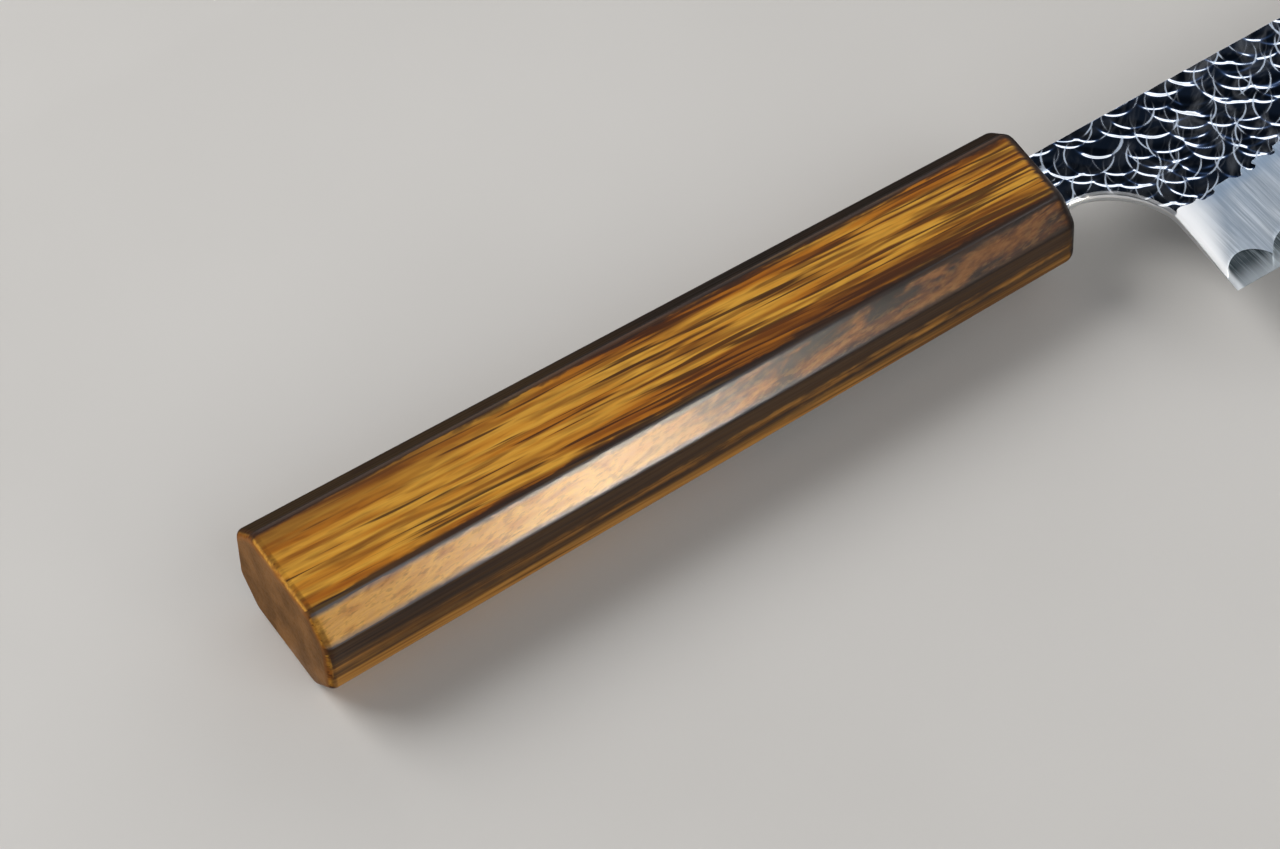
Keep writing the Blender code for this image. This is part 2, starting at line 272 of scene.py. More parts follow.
def blade_columns(tang_count, choil_count, view_count, far_count):
    """Upper and lower ends of the sections, from the tang's end to just short of the tip."""
    tang_x = mix(TANG_X, NECK_X, (np.arange(tang_count) / tang_count) ** TANG_CROWDING)
    upper = [np.stack([tang_x, tang_side(tang_x, SPINE_Y)], axis=1)]
    lower = [np.stack([tang_x, tang_side(tang_x, NECK_Y)], axis=1)]
    share = np.arange(choil_count) / choil_count
    fan_x = mix(NECK_X, FAN_X, share)
    upper.append(np.stack([fan_x, spine_y(fan_x)], axis=1))
    lower.append(choil_points(share))
    near = NEAR_SHARE * np.arange(view_count) / view_count
    far = mix(NEAR_SHARE, 1.0, np.arange(far_count + 1) / far_count)[:-1]
    share = np.concatenate([near, far])
    upper_x = mix(FAN_X, TIP_X, share)
    lower_x = mix(HEEL_X, TIP_X, share)
    upper.append(np.stack([upper_x, spine_y(upper_x)], axis=1))
    lower.append(np.stack([lower_x, edge_y(lower_x)], axis=1))
    return np.concatenate(upper), np.concatenate(lower)


def core_line_share(upper, lower):
    """The share of each section, from the spine down, at which the cladding ends."""
    height = np.maximum(upper[:, 1] - lower[:, 1], MIN_HEIGHT)
    start = np.maximum(1 - CORE_SEARCH / height, CORE_SEARCH_FROM)
    share = mix(start[:, None], 1.0, np.linspace(0, 1, CORE_SEARCH_STEPS))
    x = mix(upper[:, :1], lower[:, :1], share)
    y = mix(upper[:, 1:], lower[:, 1:], share)
    below = (x >= HEEL_X) & (y < edge_y(x) + core_line_height(x))
    first = below.argmax(axis=1)
    return np.where(below.any(axis=1), share[np.arange(len(share)), first], 1.0)


# Hammer marks


def dent_depth(distance, radius, slope):
    """Height inside a mark: a bowl that steepens outwards, then a short rounded shoulder up to the face."""
    bowl = radius / DENT_POWER * (np.minimum(distance / radius, 1) ** DENT_POWER - 1)
    shoulder = DENT_SHOULDER / 2 * (1 - np.clip((distance - radius) / DENT_SHOULDER, 0, 1)) ** 2
    return slope * (bowl - shoulder)


def blurred(field, reach):
    """The field with everything much smaller than the reach smoothed away."""
    along = np.fft.fftfreq(field.shape[0], FIELD_PITCH)[:, None]
    across = np.fft.rfftfreq(field.shape[1], FIELD_PITCH)[None, :]
    keep = np.exp(-2 * (np.pi * reach) ** 2 * (along**2 + across**2))
    return np.fft.irfft2(np.fft.rfft2(field) * keep, field.shape)


def dent_spots(rng, low, high):
    """Middles of the marks: staggered rows, shaken, all over this area and a little beyond."""
    count = int(np.hypot(*(high - low)) / min(DENT_PITCH) / 2) + 2
    steps = np.arange(-count, count + 1)
    along, across = np.meshgrid(steps, steps, indexing="ij")
    spots = np.stack([along + 0.5 * (across % 2), across], axis=-1).reshape(-1, 2)
    spots = (spots + rng.uniform(-DENT_JITTER, DENT_JITTER, spots.shape)) * np.array(DENT_PITCH)
    cos, sin = math.cos(DENT_ROWS), math.sin(DENT_ROWS)
    spots = spots @ np.array([[cos, sin], [-sin, cos]]) + (low + high) / 2
    near = np.all((spots > low - DENT_MARGIN) & (spots < high + DENT_MARGIN), axis=1)
    return spots[near]


def dent_field(seed):
    """Heights and rim lines of the hammered surface on an even grid, and the grid's corner."""
    rng = np.random.default_rng(seed)
    low = np.array(DENT_AREA_LOW)
    high = np.array([TIP_X, SPINE_Y]) + DENT_AREA_BEYOND
    shape = np.ceil((high - low) / FIELD_PITCH).astype(int)
    field = np.zeros(shape)
    lines = np.zeros(shape)
    spots = dent_spots(rng, low, high)
    rng.shuffle(spots)
    for spot in spots:
        radius = rng.uniform(*DENT_RADII)
        slope = rng.uniform(*DENT_SLOPES)
        memory = rng.uniform(*DENT_MEMORY)
        tilt = DENT_TILT + rng.normal(0, DENT_TILT_SPREAD)
        left, right = rng.uniform(*RIM_STRENGTHS, 2)
        reach = radius + 2 * DENT_SHOULDER
        start = np.maximum(((spot - low - reach) / FIELD_PITCH).astype(int), 0)
        stop = np.minimum(((spot - low + reach) / FIELD_PITCH).astype(int) + 2, shape)
        if (stop - start).min() < DENT_FEWEST_POINTS:
            continue
        here = (slice(start[0], stop[0]), slice(start[1], stop[1]))
        across_x = low[0] + FIELD_PITCH * np.arange(start[0], stop[0])[:, None] - spot[0]
        across_y = low[1] + FIELD_PITCH * np.arange(start[1], stop[1])[None, :] - spot[1]
        distance = np.hypot(across_x, across_y)
        turn = np.angle(np.exp(1j * (np.arctan2(across_y, across_x) - tilt)))
        inside = smooth((radius + DENT_SHOULDER - distance) / DENT_BORDER)
        # The tilted hammer bites on one side only.
        bite = smooth((distance * np.cos(turn) / radius - DENT_BITE_START) / (1 - DENT_BITE_START))
        level = (field[here] * inside).sum() / max(inside.sum(), TINY)
        field[here] = level + (field[here] - level) * mix(1, memory, inside * bite)
        field[here] += dent_depth(distance, radius, slope) * bite
        # On both flanks the rim is only a fine line.
        flank = smooth((np.abs(turn) - FLANK_START) / FLANK_EASE_IN)
        flank = flank * smooth((FLANK_STOP - np.abs(turn)) / FLANK_EASE_OUT)
        ring = np.where(turn > 0, left, right) * flank
        ring = ring * np.exp(-(((distance - radius - RIM_OFFSET) / RIM_LINE) ** 2))
        lines[here] = np.maximum(lines[here] * mix(1, RIM_MEMORY, inside * bite), ring)
    return field - blurred(field, DENT_LEVELLING), lines, low


def sample(field, low, x, y):
    """Heights read from the field between its points."""
    last = np.array(field.shape) - 1.001
    u = np.clip((x - low[0]) / FIELD_PITCH, 0, last[0])
    v = np.clip((y - low[1]) / FIELD_PITCH, 0, last[1])
    i, j = u.astype(int), v.astype(int)
    s, t = u - i, v - j
    first = mix(field[i, j], field[i, j + 1], t)
    second = mix(field[i + 1, j], field[i + 1, j + 1], t)
    return mix(first, second, s)


def rounding_drop(distance, radius):
    """How far a face falls at this distance from an edge rounded to this radius."""
    inside = np.clip(radius - distance, 0, radius)
    return radius - np.sqrt(np.maximum(radius**2 - inside**2, 0))


# Mesh helpers


def new_mesh_object(name, points_mm, faces, sharp_angle):
    """A smooth-shaded mesh, sharp where faces meet at more than this many degrees."""
    mesh = bpy.data.meshes.new(name)
    points = np.asarray(points_mm) * MM + np.array(FRONT)
    mesh.from_pydata(points.tolist(), [], faces)
    mesh.validate()
    mesh.shade_smooth()
    mesh.set_sharp_from_angle(angle=math.radians(sharp_angle))
    obj = bpy.data.objects.new(name, mesh)
    bpy.context.scene.collection.objects.link(obj)
    return obj


def add_values(obj, name, values):
    """Stores one number for each point of the mesh, which a material can read."""
    attribute = obj.data.attributes.new(name, "FLOAT", "POINT")
    attribute.data.foreach_set("value", np.asarray(values, np.float32).ravel())


def grid_faces(columns, rows, flip):
    """Quads of a grid whose point number is column * rows + row."""
    i, j = np.meshgrid(np.arange(columns - 1), np.arange(rows - 1), indexing="ij")
    a = (i * rows + j).ravel()
    quads = np.stack([a, a + rows, a + rows + 1, a + 1], axis=1)
    if flip:
        quads = quads[:, ::-1]
    return quads.tolist()


def grid_rim(columns, rows):
    """The points along the four sides of such a grid, in order."""
    return np.concatenate([
        np.arange(columns) * rows,
        (columns - 1) * rows + np.arange(1, rows),
        np.arange(columns - 2, -1, -1) * rows + rows - 1,
        np.arange(rows - 2, 0, -1),
    ])


def choil_rounding(lower, bottom, end, length):
    """How round each section's lower end is: widely along the notch, next to nothing elsewhere."""
    x, y = bottom[:, 0], bottom[:, 1]
    wall = np.minimum(flat_half(x, y), ground_half(x, y)) - CLAD_END
    # Here the cladding ends at the notch or the tang's lower side, and not at the core line.
    on_choil = (lower[:, 0] <= HEEL_X + 0.01) & (end > 0.999)
    radius = np.where(on_choil, np.clip(wall, SHARP_ROUNDING, CHOIL_ROUNDING), SHARP_ROUNDING)
    return np.minimum(radius, length * ROUNDING_SHARE)


def cladding_rows(upper, lower, end, length, spine_round, choil_round):
    """How far each row of points lies below its section's upper end."""
    # The dense rows reach a little below the line where the bevel cuts the marks.
    heights = upper[:, 1] - edge_y(upper[:, 0])
    dense = heights * (1 - bevel_share(upper[:, 0])) + DENSE_BEYOND
    dense = dense / np.maximum(upper[:, 1] - lower[:, 1], MIN_HEIGHT)
    dense = dense * length / end
    least, most = DENSE_SHARES
    dense = np.clip(dense, least * length, most * length - choil_round)[:, None]
    start = (spine_round + DENSE_START)[:, None]
    coarse_end = (length - choil_round)[:, None]
    return np.concatenate([
        np.array(TOP_ROWS) * spine_round[:, None],
        mix(start, dense, np.linspace(0, 1, DENSE_ROWS)),
        mix(dense, coarse_end, np.linspace(0, 1, COARSE_ROWS + 1)[1:]),
        length[:, None] - choil_round[:, None] * np.array(LOW_ROWS),
    ], axis=1)


def close_sheet(outer_points, columns, rows, side):
    """The points and faces of a sheet from its outer grid, with straight walls and a flat inner face."""
    rim = grid_rim(columns, rows)
    inner_points = outer_points[rim].copy()
    inner_points[:, 2] = side * CLAD_INNER
    inner = len(outer_points) + np.arange(len(rim))
    walls = np.stack([rim, inner, np.roll(inner, -1), np.roll(rim, -1)], axis=1)
    faces = grid_faces(columns, rows, side < 0)
    if side < 0:
        walls = walls[:, ::-1]
        inner = inner[::-1]
    faces += walls.tolist()
    faces.append(inner.tolist())
    return np.concatenate([outer_points, inner_points]), faces, rim


def cladding(name, node, side, seed):
    """One hammered and ground outer layer, as a closed sheet with a flat inner face."""
    upper, lower = blade_columns(*SECTIONS)
    end = core_line_share(upper, lower)
    bottom = mix(upper, lower, end[:, None])
    length = np.linalg.norm(bottom - upper, axis=1)
    choil_round = choil_rounding(lower, bottom, end, length)
    spine_round = np.minimum(SPINE_ROUNDING, length * ROUNDING_SHARE)
    down = cladding_rows(upper, lower, end, length, spine_round, choil_round)
    x = mix(upper[:, :1], bottom[:, :1], down / length[:, None])
    y = mix(upper[:, 1:], bottom[:, 1:], down / length[:, None])

    field, lines, field_low = dent_field(seed)
    hammered = flat_half(x, y) + sample(field, field_low, x, y) * smooth((x + NECK_FADE) / NECK_FADE)
    below_line = edge_y(x) + bevel_share(x) * (spine_y(x) - edge_y(x)) - y
    hammered = hammered + LIFT * smooth((below_line - LIFT_START) / LIFT_LENGTH)
    ground = ground_half(x, y)
    outer = np.minimum(hammered, ground)
    outer = outer - rounding_drop(down, spine_round[:, None])
    outer = outer - rounding_drop(length[:, None] - down, choil_round[:, None])
    outer = np.maximum(outer, CLAD_END)
    outer_points = np.stack([x, y, side * outer], axis=2).reshape(-1, 3)
    points, faces, rim = close_sheet(outer_points, *x.shape, side)
    obj = new_mesh_object(name, points, faces, BLADE_SHARP_ANGLE)

    values = {
        "ground": np.clip(hammered - ground, -1, 1),  # positive where the bevel was ground
        "rim_line": sample(lines, field_low, x, y),
        "choil_gap": choil_gap(x, y),
    }
    for key, value in values.items():
        add_values(obj, key, np.concatenate([value.ravel(), value.ravel()[rim]]))
    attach(obj, "root")
    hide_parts(node)
    return obj


def core():
    """The hard layer: even in thickness under the cladding, then a wedge down to the edge."""
    upper, lower = blade_columns(*SECTIONS)
    end = core_line_share(upper, lower)[:, None]
    under = end * np.linspace(0, 1, CORE_ROWS_UNDER_CLADDING)
    shown = mix(end, 1.0, np.linspace(0, 1, CORE_ROWS_SHOWN + 1)[1:])
    rows = CORE_ROWS_UNDER_CLADDING + CORE_ROWS_SHOWN
    down = np.where(end < 1, np.concatenate([under, shown], axis=1), np.linspace(0, 1, rows))
    x = mix(upper[:, :1], lower[:, :1], down)
    y = mix(upper[:, 1:], lower[:, 1:], down)
    below = np.clip(down - end, 0, 1) / np.maximum(1 - end, TINY)
    half = mix(CORE_HALF, EDGE_HALF, below)
    columns = len(upper)
    right = np.stack([x, y, half], axis=2).reshape(-1, 3)
    left = np.stack([x, y, -half], axis=2).reshape(-1, 3)
    base = len(right)
    faces = grid_faces(columns, rows, False)
    faces += [[base + i for i in quad] for quad in grid_faces(columns, rows, True)]
    rim = grid_rim(columns, rows)
    nxt = np.roll(rim, -1)
    faces += np.stack([rim, base + rim, base + nxt, nxt], axis=1).tolist()
    obj = new_mesh_object("blade_core_steel", np.concatenate([right, left]), faces, BLADE_SHARP_ANGLE)
    gap = choil_gap(x, y).ravel()
    add_values(obj, "choil_gap", np.concatenate([gap, gap]))
    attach(obj, "root")
    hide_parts("blade_core")
    return obj


# Handle

FACET_POINTS = 20
CORNER_POINTS = 5
BUTT_RINGS = 16
BUTT_RING_SHARES = (0.04, 0.96)
BUTT_ROUNDING_RINGS = 9
BODY_RINGS = 190
FRONT_ROUNDING_RINGS = 13
BORE_RINGS = 7  # each on the front face, in the slot and in the bore
BORE_END_SHARES = (0.7, 0.35, 0.05)
SLOT_STEP = 0.02
FAR_FROM_CORNERS = 3.0
HANDLE_SHARP_ANGLE = 40

# The sanded faces dip in by a few hundredths of a millimetre, in two sets of waves.
DIP = 0.018
DIP_FADE = 2
DIP_WAVES = (17, 7.1, 5)  # wavelengths over 2 pi: the first set's, and the second's along and across
DIP_SECOND = 0.6
DIP_START = 1.3


def octagon_outline(height, thickness, chamfer, rounding):
    """Points around an octagon with rounded corners, and each one's distance to the nearest corner."""
    a, b, c = height / 2, thickness / 2, chamfer
    upper = [(a, b - c), (a - c, b), (c - a, b), (-a, b - c)]
    corners = [np.array(corner) for corner in upper]
    corners += [-corner for corner in corners]
    reach = rounding * math.tan(math.radians(22.5))
    points = []
    gaps = []
    for i, here in enumerate(corners):
        before, after = corners[i - 1], corners[(i + 1) % 8]
        along_in = (here - before) / np.linalg.norm(here - before)
        along_out = (after - here) / np.linalg.norm(after - here)
        normal_in = np.array([-along_in[1], along_in[0]])
        if normal_in @ here < 0:
            normal_in = -normal_in
        start = here + along_out * reach
        stop = after - along_out * reach
        centre = here - along_in * reach - normal_in * rounding
        first = here - along_in * reach - centre
        last = start - centre
        for share in np.linspace(0, 1, CORNER_POINTS):
            direction = mix(first, last, share)
            points.append(centre + direction / np.linalg.norm(direction) * rounding)
            gaps.append(0.0)
        span = np.linalg.norm(stop - start)
        for k in range(1, FACET_POINTS):
            share = k / FACET_POINTS
            points.append(mix(start, stop, share))
            gaps.append(min(share, 1 - share) * span)
    return np.array(points), np.array(gaps)


def keyhole_outline(angles):
    """The mouth's outline, a round bore with a slot across it, at these angles."""
    slot = np.minimum(
        SLOT_HALF_HEIGHT / np.maximum(np.abs(np.cos(angles)), TINY),
        SLOT_HALF_THICKNESS / np.maximum(np.abs(np.sin(angles)), TINY),
    )
    radius = np.maximum(slot, BORE_RADIUS)
    return np.stack([radius * np.cos(angles), radius * np.sin(angles)], axis=1)


def handle_section(x, inset):
    """The octagon at this place along the handle, made smaller all around by the inset."""
    share = (x + HANDLE_LENGTH) / HANDLE_LENGTH
    height, thickness, chamfer = [mix(a, b, share) for a, b in zip(BUTT, MOUTH)]
    return octagon_outline(
        height - 2 * inset,
        thickness - 2 * inset,
        chamfer - inset * (2 - math.sqrt(2)),
        FACET_ROUNDING + 0.5 * inset,
    )


def handle_rings():
    """Rings of points from the middle of the butt, over the outside and down the bore.

    Beside its place a point has its distance to the nearest corner, and to the nearer rounded end:
    that one falls from 0 to -1 over the rounding, and is -1 on the end faces and in the bore.
    """
    rings = []

    def add_ring(x, section, gap, end_gap):
        ring = np.empty((len(section), 5))
        ring[:, 0] = x
        ring[:, 1:3] = section
        ring[:, 3] = gap
        ring[:, 4] = end_gap
        rings.append(ring)

    def bore_steps(start, stop):
        return np.linspace(start, stop, BORE_RINGS + 1)[1:]

    butt_section, butt_gap = handle_section(-HANDLE_LENGTH, BUTT_ROUNDING)
    for share in np.linspace(*BUTT_RING_SHARES, BUTT_RINGS):
        add_ring(-HANDLE_LENGTH, butt_section * share, butt_gap, -1.0)
    for angle in np.linspace(0, math.pi / 2, BUTT_ROUNDING_RINGS):
        x = -HANDLE_LENGTH + BUTT_ROUNDING * (1 - math.cos(angle))
        inset = BUTT_ROUNDING * (1 - math.sin(angle))
        add_ring(x, *handle_section(x, inset), angle / (math.pi / 2) - 1)
    for x in np.linspace(-HANDLE_LENGTH + BUTT_ROUNDING, -FRONT_ROUNDING, BODY_RINGS)[1:-1]:
        add_ring(x, *handle_section(x, 0), min(x + HANDLE_LENGTH - BUTT_ROUNDING, -x - FRONT_ROUNDING))
    for angle in np.linspace(math.pi / 2, 0, FRONT_ROUNDING_RINGS):
        x = -FRONT_ROUNDING * (1 - math.cos(angle))
        inset = FRONT_ROUNDING * (1 - math.sin(angle))
        add_ring(x, *handle_section(x, inset), angle / (math.pi / 2) - 1)

    front_section = handle_section(0, FRONT_ROUNDING)[0]
    angles = np.arctan2(front_section[:, 1], front_section[:, 0])
    keyhole = keyhole_outline(angles)
    bore = BORE_RADIUS * np.stack([np.cos(angles), np.sin(angles)], axis=1)
    for share in bore_steps(0, 1):
        add_ring(0, mix(front_section, keyhole, share), FAR_FROM_CORNERS, -1.0)
    for x in bore_steps(0, -SLOT_DEPTH):
        add_ring(x, keyhole, FAR_FROM_CORNERS, -1.0)
    add_ring(-SLOT_DEPTH - SLOT_STEP, bore, FAR_FROM_CORNERS, -1.0)
    for x in bore_steps(-SLOT_DEPTH, -BORE_DEPTH):
        add_ring(x, bore, FAR_FROM_CORNERS, -1.0)
    for share in BORE_END_SHARES:
        add_ring(-BORE_DEPTH, bore * share, FAR_FROM_CORNERS, -1.0)
    return rings


def handle():
    """The octagonal handle with rounded ends and long edges, slightly uneven like hand-sanded wood."""
    rings = handle_rings()
    points, gaps, end_gaps = np.split(np.concatenate(rings), (3, 4), axis=1)
    first, second, across = DIP_WAVES
    wave = np.sin(points[:, :1] / first + DIP_START)
    wave = wave + DIP_SECOND * np.sin(points[:, :1] / second + points[:, 1:2] / across)
    dip = np.abs(DIP * wave * smooth(gaps / DIP_FADE) * (end_gaps > 0))
    outward = points[:, 1:] / np.maximum(np.linalg.norm(points[:, 1:], axis=1), 1)[:, None]
    points[:, 1:] -= outward * dip

    faces = []
    step = np.arange(len(rings[0]))
    nxt = np.roll(step, -1)
    for r in range(len(rings) - 1):
        a, b = r * len(step), (r + 1) * len(step)
        faces += np.stack([a + step, a + nxt, b + nxt, b + step], axis=1).tolist()
    faces.append(step[::-1].tolist())
    faces.append((step + (len(rings) - 1) * len(step)).tolist())
    obj = new_mesh_object("handle_wood", points, faces, HANDLE_SHARP_ANGLE)
    add_values(obj, "corner_gap", gaps)
    add_values(obj, "end_gap", end_gaps)
    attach(obj, "root")
    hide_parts("handle_body")
    return obj


# Materials


def fill_ramp(node, stops):
    elements = node.color_ramp.elements
    while len(elements) < len(stops):
        elements.new(0.5)
    for element, (position, color) in zip(elements, stops):
        element.position = position
        element.color = (*color, 1)


class Shader:
    """A material's node tree, with short calls for the nodes that these materials use."""

    def __init__(self, name):
        self.material = bpy.data.materials.new(name)
        self.material.use_nodes = True
        self.tree = self.material.node_tree
        self.surface = self.tree.nodes["Principled BSDF"]

    def node(self, kind, **settings):
        node = self.tree.nodes.new(kind)
        for key, value in settings.items():
            setattr(node, key, value)
        return node

    def link(self, source, socket):
        if isinstance(source, (int, float)):
            socket.default_value = source
        elif isinstance(source, tuple):
            socket.default_value = (*source, 1)[: len(socket.default_value)]
        else:
            self.tree.links.new(source, socket)

    def place(self, size, turn=0, offset=(0, 0, 0)):
        """Object coordinates turned by some degrees about Z, in units of this size in mm."""
        coordinates = self.node("ShaderNodeTexCoord").outputs["Object"]
        mapping = self.node("ShaderNodeMapping", vector_type="TEXTURE")
        self.link(coordinates, mapping.inputs["Vector"])
        mapping.inputs["Scale"].default_value = [side * MM for side in size]
        mapping.inputs["Rotation"].default_value = (0, 0, math.radians(turn))
        mapping.inputs["Location"].default_value = [side * MM for side in offset]
        return mapping.outputs["Vector"]

    def noise(self, vector, detail=2.0, roughness=0.5, distortion=0.0):
        noise = self.node("ShaderNodeTexNoise")
        self.link(vector, noise.inputs["Vector"])
        noise.inputs["Scale"].default_value = 1.0
        noise.inputs["Detail"].default_value = detail
        noise.inputs["Roughness"].default_value = roughness
        noise.inputs["Distortion"].default_value = distortion
        return noise.outputs["Fac"]

    def math(self, operation, a, b=0.0):
        node = self.node("ShaderNodeMath", operation=operation)
        self.link(a, node.inputs[0])
        self.link(b, node.inputs[1])
        return node.outputs[0]

    def times(self, product, *others):
        for other in others:
            product = self.math("MULTIPLY", product, other)
        return product

    def ease(self, value, low, high, to_low=0.0, to_high=1.0):
        """Goes smoothly from to_low to to_high as the value goes from low to high."""
        node = self.node("ShaderNodeMapRange", interpolation_type="SMOOTHSTEP")
        self.link(value, node.inputs["Value"])
        for key, number in (("From Min", low), ("From Max", high), ("To Min", to_low), ("To Max", to_high)):
            self.link(number, node.inputs[key])
        return node.outputs["Result"]

    def blend(self, share, a, b):
        node = self.node("ShaderNodeMix", data_type="RGBA")
        # The Mix node keeps its colour sockets behind those for numbers and vectors.
        factor, first, second = node.inputs[0], node.inputs[6], node.inputs[7]
        self.link(share, factor)
        self.link(a, first)
        self.link(b, second)
        return node.outputs[2]

    def ramp(self, value, stops):
        node = self.node("ShaderNodeValToRGB")
        self.link(value, node.inputs["Fac"])
        fill_ramp(node, stops)
        return node.outputs["Color"]

    def attribute(self, name):
        return self.node("ShaderNodeAttribute", attribute_name=name).outputs["Fac"]

    def bump(self, height, strength, distance_mm):
        node = self.node("ShaderNodeBump")
        self.link(height, node.inputs["Height"])
        node.inputs["Strength"].default_value = strength
        node.inputs["Distance"].default_value = distance_mm * MM
        return node.outputs["Normal"]

    def facing(self):
        """The surface's normal, split into X, Y and Z."""
        normal = self.node("ShaderNodeNewGeometry").outputs["Normal"]
        split = self.node("ShaderNodeSeparateXYZ")
        self.link(normal, split.inputs[0])
        return split.outputs

    def where(self):
        """Object coordinates in metres, split into X, Y and Z."""
        split = self.node("ShaderNodeSeparateXYZ")
        self.link(self.node("ShaderNodeTexCoord").outputs["Object"], split.inputs[0])
        return split.outputs

    def set(self, **values):
        for key, value in values.items():
            self.link(value, self.surface.inputs[key.replace("_", " ")])


def linear(channel):
    """One sRGB channel from 0 to 255, as the linear value that shaders take."""
    share = channel / 255
    return ((share + 0.055) / 1.055) ** 2.4 if channel > 10 else share / 12.92


def rgb(red, green, blue):
    """A colour given in everyday 0 to 255 values."""
    return linear(red), linear(green), linear(blue)


BRUSH_TURN = 5  # degrees, for the grinding lines
GRAIN_TURN = -2.0  # degrees, for the streaks in the wood


def stainless_material():
    """Mirror-polished hammer marks above a bevel brushed from the spine to the edge."""
    s = Shader("hammered_stainless")
    cut = s.attribute("ground")
    ground = s.ease(cut, -0.003, 0.003)
    upper = s.math("SUBTRACT", 1.0, ground)
    x, y, _ = s.where()
    gap = s.attribute("choil_gap")
    notch_wall = s.ease(gap, 1.1, 0.8)
    # A painted highlight: the steel beside the notch is painted near white, over a band that is wider
    # further up.
    highlight_reach = s.ease(y, FRONT.y - 31 * MM, FRONT.y - 15 * MM, 2.5, 9.0)
    from_notch = s.math("DIVIDE", gap, highlight_reach)

    scratches = s.noise(s.place((0.2, 9, 3), BRUSH_TURN), 3.0, 0.6)
    lines = s.noise(s.place((0.7, 30, 3), BRUSH_TURN, (3, 1, 0)), 3.0, 0.7)
    clouds = s.noise(s.place((5, 9, 5), BRUSH_TURN), 2.0, 0.5)
    grain = s.math("ADD", s.times(scratches, 0.5), s.times(lines, 0.5))
    steel = s.ramp(grain, [
        (0.36, rgb(157, 167, 178)),
        (0.5, rgb(181, 190, 199)),
        (0.64, rgb(212, 219, 226)),
    ])
    # Painted reflection: bluish patches, and a bluish band where the bevel meets the hammer marks, stand
    # for the blue ceiling mirrored in the steel.
    steel = s.blend(s.ease(clouds, 0.3, 0.7, 0.0, 0.3), steel, rgb(160, 178, 198))
    steel = s.blend(s.ease(cut, 0.9, 0.05, 0.0, 0.55), steel, rgb(140, 165, 194))
    # Painted highlight: near white beside the notch.
    steel = s.blend(s.ease(from_notch, 1.0, 0.15, 0.0, 0.95), steel, rgb(253, 254, 255))
    color = s.blend(ground, rgb(222, 227, 234), steel)
    rim_line = s.ease(s.attribute("rim_line"), 0.1, 0.9)
    color = s.blend(s.times(rim_line, upper, 0.8), color, rgb(206, 222, 242))
    color = s.blend(notch_wall, color, rgb(246, 247, 248))

    rim_dullness = s.times(rim_line, 0.4)
    by_notch = s.ease(from_notch, 1.0, 0.2, 0.0, 0.12)
    satin = s.math("ADD", s.ease(scratches, 0.3, 0.7, 0.42, 0.52), by_notch)
    roughness = s.math("MAXIMUM", s.times(ground, satin), s.times(notch_wall, 0.3))
    roughness = s.math("MAXIMUM", roughness, rim_dullness)
    # Where the polish is hazy, some of the light scatters as from a grey film.
    smoke = s.noise(s.place((7, 4, 5), 30), 3.0, 0.6, 0.8)
    along = s.ease(x, FRONT.x + 8 * MM, FRONT.x + 36 * MM, 0.2, 1.0)
    haze = s.times(s.ease(smoke, 0.44, 0.7), along)
    film = s.math("ADD", s.times(haze, upper, 0.09), s.times(rim_dullness, upper, 0.4))
    s.set(Base_Color=color, Metallic=s.math("SUBTRACT", 1.0, film))
    s.set(Roughness=s.math("MAXIMUM", roughness, 0.05))
    s.set(Normal=s.bump(s.times(grain, ground), 0.6, 0.007))
    return s.material


def core_material():
    """Harder, darker steel with denser grinding scratches, brighter where the notch was polished."""
    s = Shader("core_steel")
    scratches = s.noise(s.place((0.18, 6, 3), BRUSH_TURN), 4.0, 0.7)
    lines = s.noise(s.place((0.6, 9, 3), BRUSH_TURN, (2, 2, 0)), 2.0, 0.6)
    grain = s.math("ADD", s.times(scratches, 0.5), s.times(lines, 0.5))
    steel = s.ramp(grain, [
        (0.38, rgb(57, 65, 69)),
        (0.5, rgb(83, 92, 97)),
        (0.6, rgb(132, 142, 147)),
    ])
    _, y, _ = s.where()
    by_edge = s.ease(y, FRONT.y + (EDGE_Y + 4) * MM, FRONT.y + EDGE_Y * MM, 0.0, 0.6)
    steel = s.blend(by_edge, steel, rgb(206, 214, 220))
    polished = s.ease(s.attribute("choil_gap"), 1.5, 0.6)
    steel = s.blend(polished, steel, rgb(240, 244, 247))
    s.set(Base_Color=steel, Metallic=1.0, Roughness=s.ease(scratches, 0.3, 0.7, 0.4, 0.5))
    s.set(Normal=s.bump(grain, 0.6, 0.009))
    return s.material


